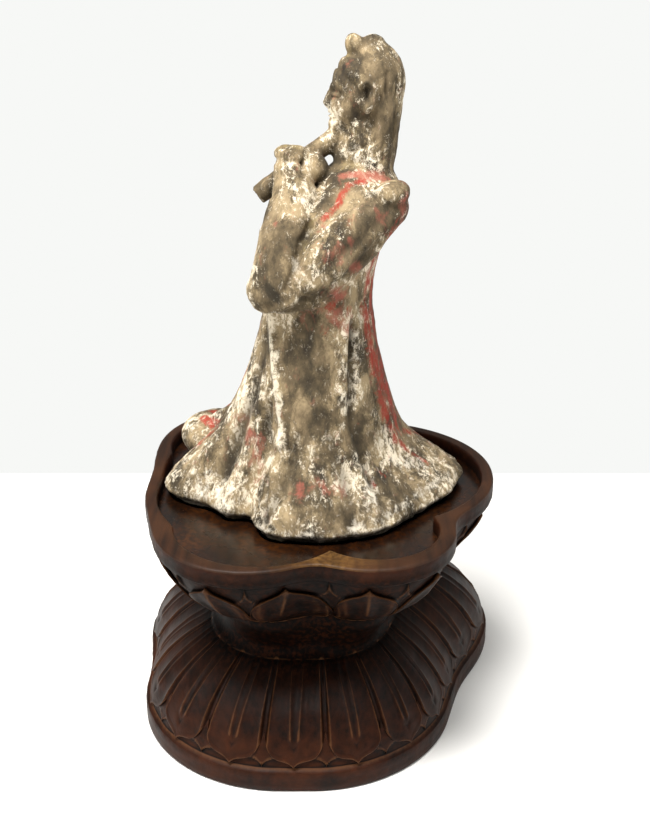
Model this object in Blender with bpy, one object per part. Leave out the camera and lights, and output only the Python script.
# A fired-clay musician on a carved hardwood lotus stand.
# Metres, +Z up. The musician looks along -Y, and its left side is at +X.
# The origin is under the middle of the stand, on the surface that it stands on.
import math

import bmesh
import bpy
from mathutils import Matrix, Vector

# Driving sizes of the stand, in metres
stand_height = 0.138
tray_half_depth = 0.105        # along X, from the middle to the rim
tray_half_width = 0.096        # along Y
foot_half_depth = 0.098
foot_half_width = 0.104
rim_height = 0.0095
rim_width = 0.0068
recess_depth = 0.008
plinth_height = 0.0112
groove_height = 0.0016
groove_depth = 0.0030
foot_height = 0.055            # ground to the lip under the neck
neck_height = 0.032
petal_relief = 0.0030
edge_round = 0.0012            # small roundings of the lips and rim
petal_side_columns = (-1.0, -0.74, -0.36, 0.0, 0.36, 0.74)

# Directions of the petals' points in degrees, anticlockwise from +X
petal_angles = (-50.0, -29.5, -9.5, 12.0, 34.0, 53.0, 76.0, 96.0, 114.0,
                133.5, 153.0, 173.0, 192.5, 212.0, 232.0, 251.5, 271.0, 290.5)

# Driving sizes of the musician
figure_height = 0.2390
rest_gap = 0.0003              # clear space between clay and wood
figure_voxel = 0.0021
figure_faces_kept = 0.080      # share of the fused faces that the solid keeps

unit = figure_height / 23.9    # the musician's forms are shares of its own height


def clear_scene():
    for old in list(bpy.data.objects):
        bpy.data.objects.remove(old)


def make_material(name, colour, roughness):
    material = bpy.data.materials.new(name)
    material.use_nodes = True
    shader = material.node_tree.nodes["Principled BSDF"]
    shader.inputs["Base Color"].default_value = (*colour, 1.0)
    shader.inputs["Roughness"].default_value = roughness
    shader.inputs["Metallic"].default_value = 0.0
    return material


def blend(start, end, share):
    return start + (end - start) * share


def smooth_step(low, high, value):
    share = min(1.0, max(0.0, (value - low) / (high - low)))
    return share * share * (3.0 - 2.0 * share)


def along(stations, value):
    """Read a profile, given as (position, value) pairs, with straight runs between them."""
    if value <= stations[0][0]:
        return stations[0][1]
    for (low, a), (high, b) in zip(stations, stations[1:]):
        if value <= high:
            return blend(a, b, (value - low) / (high - low))
    return stations[-1][1]


# The cloud outline of the stand: each plan is a union of round-cornered lobes


def lobe(x_low, x_high, y_low, y_high, corner):
    return ((x_low + x_high) / 2, (y_low + y_high) / 2,
            (x_high - x_low) / 2, (y_high - y_low) / 2, corner)


def disc(x, y, radius):
    return (x, y, radius, radius, radius)


def tray_plan(inset):
    """Round-cornered lobes of the tray, as shares of its own depth and width."""
    a, b = tray_half_depth, tray_half_width
    return (
        lobe(inset - 0.928 * a, 0.924 * a - inset, inset - 0.996 * b, 0.417 * b - inset, 0.78 * a - inset),
        disc(-0.077 * a, 0.228 * b, 0.693 * a - inset),
        disc(-0.452 * a, -0.407 * b, 0.544 * a - inset),
    )


def foot_plan():
    a, b = foot_half_depth, foot_half_width
    return (
        lobe(-0.939 * a, 0.947 * a, -0.988 * b, 0.712 * b, 0.819 * a),
        disc(-0.440 * a, 0.510 * b, 0.403 * a),
        disc(-0.745 * a, 0.642 * b, 0.320 * a),
        disc(-0.612 * a, -0.769 * b, 0.224 * a),
    )


# The two lobes that make the notch in front differ between rim and recess
tray_lobes = tray_plan(0.0) + (
    disc(0.549 * tray_half_depth, -0.379 * tray_half_width, 0.463 * tray_half_depth),
    disc(0.575 * tray_half_depth, 0.242 * tray_half_width, 0.417 * tray_half_depth),
)
recess_lobes = tray_plan(rim_width) + (
    disc(0.524 * tray_half_depth, -0.323 * tray_half_width, 0.489 * tray_half_depth - rim_width),
    disc(0.575 * tray_half_depth, 0.271 * tray_half_width, 0.371 * tray_half_depth - rim_width),
)
foot_lobes = foot_plan()
tray_fillet = 0.114 * tray_half_depth      # how softly the lobes run into each other
recess_fillet = 0.019 * tray_half_depth
foot_fillet = 0.441 * foot_half_depth


def lobe_distance(x, y, part):
    middle_x, middle_y, half_x, half_y, corner = part
    away_x = abs(x - middle_x) - (half_x - corner)
    away_y = abs(y - middle_y) - (half_y - corner)
    outside = math.hypot(max(away_x, 0.0), max(away_y, 0.0))
    return outside + min(max(away_x, away_y), 0.0) - corner


def plan_distance(x, y, lobes, softness):
    total = lobe_distance(x, y, lobes[0])
    for part in lobes[1:]:
        other = lobe_distance(x, y, part)
        mix = max(softness - abs(total - other), 0.0) / softness
        total = min(total, other) - mix * mix * softness / 4
    return total


def edge_point(angle, lobes, softness):
    """Point on the plan's edge in a direction, by halving steps, and the way out of it there."""
    low, high = 0.0, 2.0 * tray_half_depth
    toward = Vector((math.cos(angle), math.sin(angle)))
    for _ in range(34):
        middle = (low + high) / 2
        if plan_distance(toward.x * middle, toward.y * middle, lobes, softness) < 0.0:
            low = middle
        else:
            high = middle
    spot = toward * low
    d = low / 250
    out = Vector((plan_distance(spot.x + d, spot.y, lobes, softness)
                  - plan_distance(spot.x - d, spot.y, lobes, softness),
                  plan_distance(spot.x, spot.y + d, lobes, softness)
                  - plan_distance(spot.x, spot.y - d, lobes, softness)))
    return spot, out.normalized()


# Levels of the stand's parts above the ground

floor_level = stand_height - recess_depth
rim_base = stand_height - rim_height
petal_foot = plinth_height + groove_height
neck_top = foot_height + neck_height

# Level from the foot of each slope to its top, and how far it lies inside the plan's edge,
# as a share of the half depth
foot_inset = ((0.0, 0.035), (0.2, 0.063), (0.4, 0.110), (0.6, 0.175), (0.8, 0.267), (1.0, 0.392))
cup_inset = ((0.0, 0.390), (0.14, 0.295), (0.34, 0.195), (0.58, 0.114), (0.80, 0.061), (1.0, 0.034))


def foot_point(column, inset):
    """Foot plan moved in along its own normals, eased with a plain scaling in tight corners."""
    spot, out = column["foot"]
    return (spot - out * inset).lerp(spot * (1.0 - inset / foot_half_depth), 0.35)


def tray_point(column, inset):
    spot, out = column["tray"]
    eased = 0.25 + 0.5 * smooth_step(0.1, 0.4, inset / tray_half_depth)
    return (spot - out * inset).lerp(spot * (1.0 - inset / tray_half_depth), eased)


def ogee(side):
    """How far a petal's edge has drawn back from its point, 0 at the middle and 1 at its side."""
    return 0.20 * abs(side) ** 0.6 + 0.80 * abs(side) ** 5


def petal_swell(side, share):
    """Relief across a petal: raised rib pair, full flanks and a deep furrow at its sides."""
    flank = 1.0 - smooth_step(0.72, 1.0, abs(side))
    rib = 0.22 * math.exp(-((abs(side) - 0.16) / 0.10) ** 2) * share
    return flank * (0.75 + rib)


def foot_ring(kind, share):
    """One ring of the foot's petals. The tip edge climbs from each point to the furrow."""
    def place(column):
        side = column["side"]
        tip = 0.02 + 0.40 * ogee(side)
        if kind == "ground":
            level, raised = tip * 0.96 - 0.02, 0.35 * math.exp(-((1.0 - abs(side)) / 0.35) ** 2)
        elif kind == "edge":
            level, raised = tip, 0.80
        else:
            level = blend(tip, 1.0, share)
            raised = petal_swell(side, smooth_step(0.0, 0.25, share)) * (1.0 - 0.45 * share)
        level = max(level, 0.0)
        inset = foot_half_depth * along(foot_inset, level) - petal_relief * raised
        return foot_point(column, inset), blend(petal_foot, foot_height, level)
    return place


def cup_ring(kind, share):
    """One ring of the cup's upright petals, whose points look up to the rim."""
    def place(column):
        side = column["side"]
        tip = 0.93 - 0.50 * ogee(side)
        if kind == "ground":
            level, raised = tip + 0.03, 0.45 * math.exp(-((1.0 - abs(side)) / 0.30) ** 2)
        elif kind == "edge":
            level, raised = tip, 0.85
        else:
            level = tip * share
            raised = petal_swell(side, 1.0) * smooth_step(-0.1, 0.3, share)
        inset = tray_half_depth * along(cup_inset, level) - petal_relief * 0.8 * raised
        return tray_point(column, inset), blend(neck_top, rim_base - edge_round, level)
    return place


def foot_plain(z, inset):
    return lambda column: (foot_point(column, inset), z)


def neck_plain(share, inset, mix):
    """A plain ring of the neck, which turns from the foot's plan to the tray's."""
    def place(column):
        low = foot_point(column, inset * foot_half_depth)
        return low.lerp(tray_point(column, inset * tray_half_depth), mix), foot_height + neck_height * share
    return place


def tray_plain(z, inset):
    return lambda column: (column["tray"][0] - column["tray"][1] * inset, z)


def recess_plain(z, inset):
    return lambda column: (column["recess"][0] - column["recess"][1] * inset, z)


def stand_rings():
    rings = [
        foot_plain(0.0, 0.0),
        foot_plain(plinth_height, 0.0),
        foot_plain(plinth_height + groove_height * 0.3, groove_depth),
        foot_plain(petal_foot, groove_depth),
        foot_ring("ground", 0.0),
        foot_ring("edge", 0.0),
    ]
    for share in (0.14, 0.42, 0.72, 1.0):
        rings.append(foot_ring("petal", share))
    for share, inset, mix in ((0.04, 0.395, 0.0), (0.11, 0.425, 0.1), (0.40, 0.425, 0.5),
                              (0.80, 0.405, 1.0), (0.96, 0.408, 1.0)):
        rings.append(neck_plain(share, inset, mix))
    for share in (0.0, 0.20, 0.62):
        rings.append(cup_ring("petal", share))
    rings += [
        cup_ring("edge", 1.0),
        cup_ring("ground", 1.0),
        tray_plain(rim_base - edge_round, 2.6 * edge_round),
        tray_plain(rim_base, 0.6 * edge_round),
        tray_plain(rim_base + 0.6 * edge_round, 0.0),
        tray_plain(stand_height - 0.6 * edge_round, 0.0),
        tray_plain(stand_height, 0.8 * edge_round),
        recess_plain(stand_height, -0.5 * edge_round),
        recess_plain(floor_level, 0.0),
    ]
    return rings


def stand_columns():
    """Every column of the stand: its place across its petal and its points on the three plans."""
    columns = []
    count = len(petal_angles)
    for index, tip in enumerate(petal_angles):
        before = petal_angles[index - 1] - (360.0 if index == 0 else 0.0)
        after = petal_angles[(index + 1) % count] + (360.0 if index == count - 1 else 0.0)
        for side in petal_side_columns:
            gap = (after - tip) if side > 0 else (tip - before)
            angle = math.radians(tip + side * gap / 2)
            columns.append({"side": side, "foot": edge_point(angle, foot_lobes, foot_fillet),
                            "tray": edge_point(angle, tray_lobes, tray_fillet),
                            "recess": edge_point(angle, recess_lobes, recess_fillet)})
    return columns


def plan_middle(columns):
    """Middle of the box around foot and tray, so that the origin lies under it."""
    spots = [column[plan][0] for column in columns for plan in ("foot", "tray")]
    across, wide = [spot.x for spot in spots], [spot.y for spot in spots]
    return Vector((min(across) + max(across), min(wide) + max(wide))) / 2


def build_stand(material, columns, middle):
    mesh = bmesh.new()
    made = bmesh.ops.create_circle(mesh, cap_ends=False, segments=len(columns), radius=1.0)
    ring = made["verts"]
    edges = list(mesh.edges)
    for number, place in enumerate(stand_rings()):
        if number:
            ring, edges = grow_ring(mesh, edges)
        for vertex, column in zip(ring, columns):
            spot, z = place(column)
            vertex.co = (*(spot - middle), z)
    bmesh.ops.holes_fill(mesh, edges=[edge for edge in mesh.edges if edge.is_boundary], sides=0)
    bmesh.ops.recalc_face_normals(mesh, faces=mesh.faces)
    return make_object("stand", mesh, material, 40.0)


def sort_ring(vertices):
    """New rings keep the order of the ring they grew from."""
    vertices.sort(key=lambda vertex: vertex.index)
    return vertices


def make_object(name, mesh, material, sharp_angle):
    data = bpy.data.meshes.new(name)
    mesh.to_mesh(data)
    mesh.free()
    data.materials.append(material)
    data.shade_smooth()
    data.set_sharp_from_angle(angle=math.radians(sharp_angle))
    item = bpy.data.objects.new(name, data)
    bpy.context.scene.collection.objects.link(item)
    return item


# The musician: closed forms in its own units, fused into one skin

seat = floor_level + rest_gap

# Robe rings: height, front, back, half breadth
robe_rings = (
    (-0.6, -8.3, 7.2, 6.35), (0.0, -8.6, 7.5, 6.5), (0.45, -8.65, 7.5, 6.55),
    (1.0, -8.3, 7.2, 6.3), (1.6, -7.75, 6.55, 5.95), (2.3, -7.05, 5.5, 5.5),
    (3.0, -6.3, 4.65, 5.1), (3.9, -5.55, 4.1, 4.7), (5.4, -4.75, 3.65, 4.25),
    (7.2, -4.0, 3.2, 3.9), (9.0, -3.45, 2.8, 3.65), (11.0, -3.0, 2.5, 3.6),
    (12.6, -2.5, 2.65, 3.75), (14.2, -1.9, 3.1, 3.7), (15.6, -1.3, 3.7, 3.5),
    (16.6, -0.7, 3.95, 3.05), (17.3, -0.1, 3.7, 2.3), (17.9, 0.5, 3.1, 1.5),
)
robe_segments = 72

# How the hem wanders: direction in degrees (0 is the musician's left), reach added, spread
hem_waves = (
    (-54.0, -1.25, 17.0), (-84.0, 0.25, 12.0), (58.0, -0.75, 24.0), (104.0, 0.7, 13.0),
    (-126.0, -0.3, 20.0), (132.0, -0.5, 22.0), (-31.5, -1.35, 9.5), (-10.0, 0.25, 10.0), (8.0, 0.25, 12.0),
)

# Drapery on both flanks: path of (Y, height) points, half width, depth (out is positive)
drapery = (
    (((-1.75, 11.2), (-1.9, 8.5), (-2.0, 5.8), (-2.1, 4.6)), 0.50, 0.42),
    (((-2.75, 10.6), (-2.85, 7.4), (-2.9, 4.4), (-3.3, 1.6)), 0.42, -0.50),
    (((-1.1, 11.2), (-1.2, 8.2), (-1.25, 5.2)), 0.38, -0.32),
    (((1.3, 10.8), (0.95, 8.2), (0.85, 6.1), (1.3, 4.6), (2.4, 2.4)), 0.45, -0.42),
    (((2.0, 12.6), (2.0, 9.5), (2.3, 6.9), (3.0, 4.0), (4.6, 2.0)), 0.40, 0.30),
    (((-4.3, 7.5), (-5.2, 4.5), (-6.3, 2.4)), 0.60, 0.30),
)


def path_distance(y, z, path):
    best = 1e9
    point = Vector((y, z))
    for start, end in zip(path, path[1:]):
        a, b = Vector(start), Vector(end)
        run = b - a
        share = min(1.0, max(0.0, (point - a).dot(run) / run.length_squared))
        best = min(best, (point - a - run * share).length)
    return best


def drapery_depth(y, z):
    depth = 0.0
    for path, half_width, lift in drapery:
        depth += lift * math.exp(-(path_distance(y, z, path) / half_width) ** 2)
    return depth


def robe_point(ring, angle):
    z, front, back, breadth = ring
    middle, half_run = (front + back) / 2, (back - front) / 2
    direction = Vector((math.cos(angle), math.sin(angle)))
    spot = Vector((breadth * direction.x, middle + half_run * direction.y))
    low = 1.0 - smooth_step(0.8, 6.5, z)
    for degrees, added, spread in hem_waves:
        turn = (math.degrees(angle) - degrees + 180.0) % 360.0 - 180.0
        spot += direction * added * low * math.exp(-(turn / spread) ** 2)
    flank = 1.0 if direction.x > 0 else -0.6
    flank *= smooth_step(0.0, 0.35, abs(direction.x))
    spot.x += flank * drapery_depth(spot.y, z)
    return Vector((spot.x, spot.y, z))


def robe_form(mesh):
    angles = [2.0 * math.pi * index / robe_segments for index in range(robe_segments)]
    made = bmesh.ops.create_circle(mesh, cap_ends=False, segments=robe_segments, radius=1.0)
    ring = made["verts"]
    edges = list({edge for vertex in ring for edge in vertex.link_edges})
    first = list(edges)
    for number, stations in enumerate(robe_rings):
        if number:
            ring, edges = grow_ring(mesh, edges)
        for vertex, angle in zip(ring, angles):
            vertex.co = robe_point(stations, angle)
    bmesh.ops.holes_fill(mesh, edges=first + edges, sides=0)
    # A fold of the skirt gathered up at the musician's right, in front
    ball(mesh, (-3.95, -6.05, 1.55), (2.55, 2.2, 1.30), -8.0)
    limb(mesh, ((-3.6, -5.3, 1.85, 1.50), (-2.5, -3.9, 3.4, 1.35), (-1.9, -3.0, 5.4, 1.0)))


def grow_ring(mesh, edges):
    grown = bmesh.ops.extrude_edge_only(mesh, edges=edges)["geom"]
    fresh = [item for item in grown if isinstance(item, bmesh.types.BMVert)]
    fresh_set = set(fresh)
    grown_edges = [item for item in grown if isinstance(item, bmesh.types.BMEdge)
                   and all(end in fresh_set for end in item.verts)]
    return sort_ring(fresh), grown_edges


def ball(mesh, centre, radii, tilt=0.0):
    """An egg: centre, radii along X, Y and Z, and a tilt about X in degrees."""
    place = (Matrix.Translation(centre) @ Matrix.Rotation(math.radians(tilt), 4, "X")
             @ Matrix.Diagonal((*radii, 1.0)))
    bmesh.ops.create_uvsphere(mesh, u_segments=24, v_segments=14, radius=1.0, matrix=place)


def limb(mesh, stations, cut_end=False):
    """A soft tube through (x, y, z, radius) stations: cones with round joints, its end round or cut."""
    for start, end in zip(stations, stations[1:]):
        a, b = Vector(start[:3]), Vector(end[:3])
        run = b - a
        turn = run.to_track_quat("Z", "Y").to_matrix().to_4x4()
        place = Matrix.Translation((a + b) / 2) @ turn
        bmesh.ops.create_cone(mesh, cap_ends=True, segments=24, radius1=start[3], radius2=end[3],
                              depth=run.length, matrix=place)
        ball(mesh, a, (start[3],) * 3)
    last = stations[-1]
    if not cut_end:
        ball(mesh, last[:3], (last[3],) * 3)


def arm_forms(mesh):
    limb(mesh, ((2.2, 3.1, 16.1, 1.05), (2.75, 1.6, 15.0, 1.45), (3.0, 0.1, 13.7, 1.65),
                (3.05, -0.9, 12.6, 1.45)))
    limb(mesh, ((2.0, 0.5, 16.2, 0.80), (2.5, -0.3, 15.0, 0.90), (2.8, -0.9, 13.7, 0.95),
                (2.9, -1.2, 12.7, 1.0)))
    limb(mesh, ((2.95, -1.95, 12.6, 1.60), (2.5, -1.7, 14.5, 1.46), (1.75, -1.4, 16.2, 1.12),
                (1.2, -1.45, 17.3, 0.94)))
    ball(mesh, (3.0, -2.4, 12.2), (1.35, 1.36, 1.06))
    ball(mesh, (2.35, 3.30, 16.7), (1.0, 0.92, 0.68), 20.0)
    limb(mesh, ((-2.2, 3.0, 16.1, 1.05), (-2.75, 1.4, 14.9, 1.40), (-2.8, -0.6, 13.0, 1.45)))
    limb(mesh, ((-2.6, -2.1, 12.7, 1.45), (-2.2, -1.9, 14.6, 1.20), (-1.2, -1.5, 16.4, 0.95),
                (-0.5, -1.3, 17.2, 0.80)))


def hand_forms(mesh):
    ball(mesh, (1.05, -1.50, 17.6), (0.84, 0.94, 1.12), -8.0)
    ball(mesh, (0.95, -1.48, 18.38), (0.74, 0.92, 0.40), -6.0)
    ball(mesh, (0.85, -0.35, 17.75), (0.60, 0.62, 0.72), 25.0)
    ball(mesh, (-0.55, -1.0, 17.7), (0.62, 0.85, 0.85), -20.0)
    limb(mesh, ((0.0, 0.70, 19.15, 0.50), (0.13, -3.30, 16.25, 0.50)), True)


def head_forms(mesh):
    limb(mesh, ((0.0, 2.1, 16.8, 1.45), (0.0, 1.95, 18.3, 1.30), (0.0, 1.9, 19.6, 1.05)))
    ball(mesh, (0.1, 1.25, 18.15), (0.85, 0.75, 0.95))
    ball(mesh, (0.0, 2.58, 21.65), (1.38, 1.42, 1.90))
    ball(mesh, (0.0, 2.10, 21.35), (1.44, 1.55, 1.60))
    ball(mesh, (0.0, 1.85, 21.75), (1.28, 1.42, 1.32))
    ball(mesh, (0.0, 1.50, 20.75), (1.12, 1.22, 1.55))
    ball(mesh, (0.0, 0.85, 19.75), (0.62, 0.60, 0.48))
    ball(mesh, (0.0, 0.42, 20.75), (0.22, 0.30, 0.42), -14.0)
    ball(mesh, (0.0, 0.72, 21.45), (0.80, 0.45, 0.24))
    for side in (1.0, -1.0):
        ball(mesh, (1.30 * side, 2.10, 20.98), (0.26, 0.36, 0.58), 8.0)
        ball(mesh, (0.85 * side, 2.95, 20.2), (0.55, 0.62, 1.55), 4.0)
    ball(mesh, (0.0, 3.05, 20.6), (1.20, 0.85, 1.60))
    limb(mesh, ((0.0, 3.15, 19.8, 0.66), (0.0, 2.65, 17.6, 0.85)))
    limb(mesh, ((0.75, 2.85, 19.6, 0.60), (0.85, 2.5, 17.6, 0.75)))
    limb(mesh, ((-0.75, 2.85, 19.6, 0.60), (-0.85, 2.5, 17.6, 0.75)))
    ball(mesh, (0.08, 1.50, 23.38), (0.45, 0.46, 0.60), 20.0)
    ball(mesh, (-0.05, 2.38, 23.2), (0.58, 0.66, 0.70), -12.0)


def build_figure(material, middle):
    mesh = bmesh.new()
    robe_form(mesh)
    arm_forms(mesh)
    hand_forms(mesh)
    head_forms(mesh)
    place = Matrix.Translation((*-middle, seat)) @ Matrix.Scale(unit, 4)
    bmesh.ops.transform(mesh, matrix=place, verts=mesh.verts)
    bmesh.ops.recalc_face_normals(mesh, faces=mesh.faces)
    figure = make_object("musician_figure", mesh, material, 180.0)

    skin = figure.modifiers.new("one skin", "REMESH")
    skin.mode = "VOXEL"
    skin.voxel_size = figure_voxel
    soften = figure.modifiers.new("soften", "SMOOTH")
    soften.factor = 0.5
    soften.iterations = 3
    thin = figure.modifiers.new("fewer faces", "DECIMATE")
    thin.ratio = figure_faces_kept
    thin.use_collapse_triangulate = True

    ground = bmesh.new()
    deep = 0.02
    under = Matrix.Translation((0.0, 0.0, seat - deep / 2)) @ Matrix.Diagonal((0.3, 0.3, deep, 1.0))
    bmesh.ops.create_cube(ground, size=1.0, matrix=under)
    cutter = make_object("ground_cutter", ground, material, 30.0)
    cutter.hide_render = True
    cutter.display_type = "WIRE"
    flat = figure.modifiers.new("flat underside", "BOOLEAN")
    flat.operation = "DIFFERENCE"
    flat.solver = "EXACT"
    flat.object = cutter
    return figure


clear_scene()
hardwood = make_material("carved dark hardwood", (0.072, 0.030, 0.018), 0.45)
clay = make_material("weathered fired clay", (0.30, 0.25, 0.19), 0.9)
plan_columns = stand_columns()
plan_centre = plan_middle(plan_columns)
build_stand(hardwood, plan_columns, plan_centre)
build_figure(clay, plan_centre)
